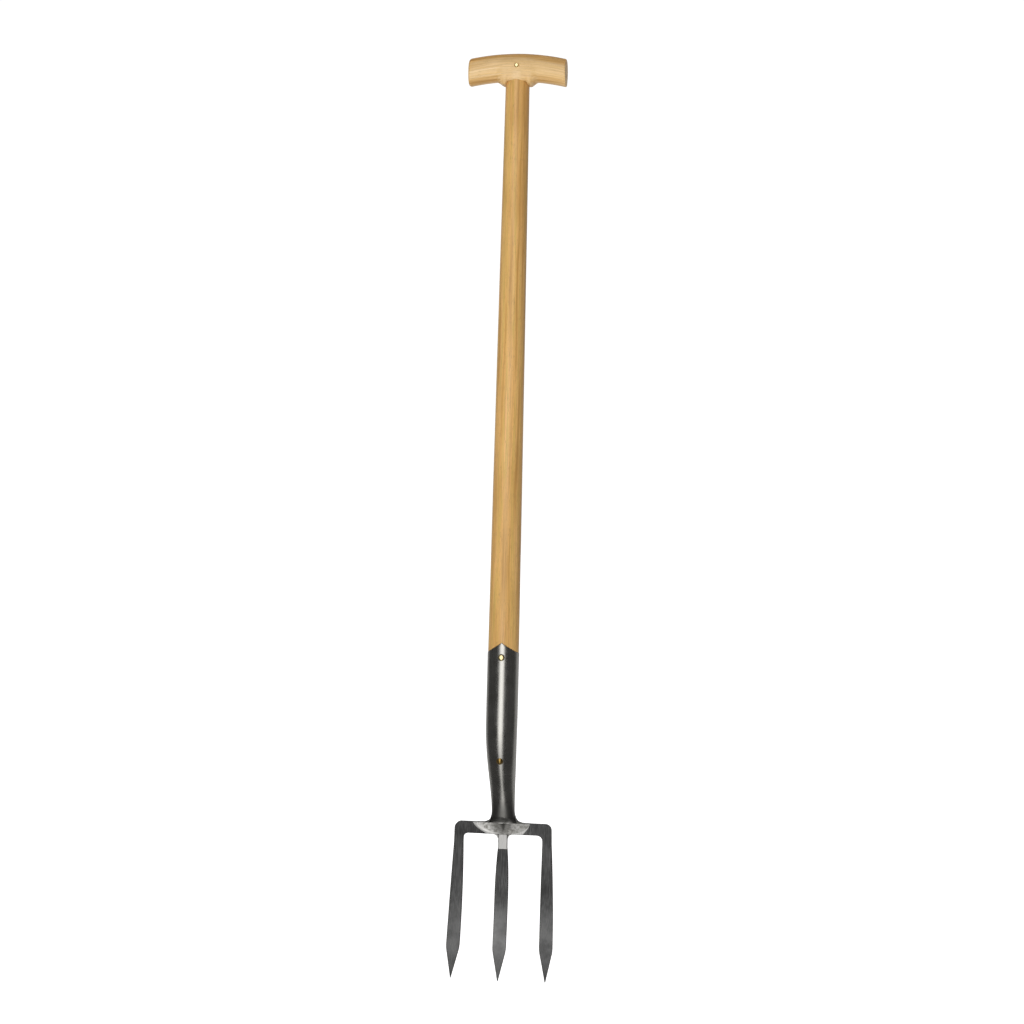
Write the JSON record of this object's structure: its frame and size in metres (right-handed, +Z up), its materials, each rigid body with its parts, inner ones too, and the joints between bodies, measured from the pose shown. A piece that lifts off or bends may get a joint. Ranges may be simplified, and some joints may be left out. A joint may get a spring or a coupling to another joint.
{
  "type": "hay fork",
  "caption": "Long-handled hand fork with flat pointed tines, a T-shaped ash grip, a tapering ash shaft and a riveted cranked steel socket.",
  "frame": {"origin": "middle of the bounding box's base: on the middle plane of the fork, at the height of the centre tine's tip", "axes": "+Z up along the shaft to the grip, -Y out of the front that the rivet heads and the socket's pointed edge are on, +X along the grip to the right as seen from the front"},
  "size_m": [0.1408, 0.0741, 1.2102],
  "materials": {
    "grip_ash": "oiled, satin",
    "shaft_ash": "oiled, satin",
    "socket_steel": "polished",
    "tine_steel": "dark, brushed lengthwise",
    "ground_steel": "ground bright",
    "brass": "polished"
  },
  "bodies": {
    "root": {"t_grip": "grip_ash", "grip_pin": "brass", "shaft": "shaft_ash", "socket": "socket_steel", "upper_rivet": "brass", "lower_rivet": "brass", "fork_yoke": "tine_steel", "centre_tine": "tine_steel", "left_foot_weld": "ground_steel", "right_foot_weld": "ground_steel", "left_tine_weld": "ground_steel", "right_tine_weld": "ground_steel"}
  },
  "joints": []
}
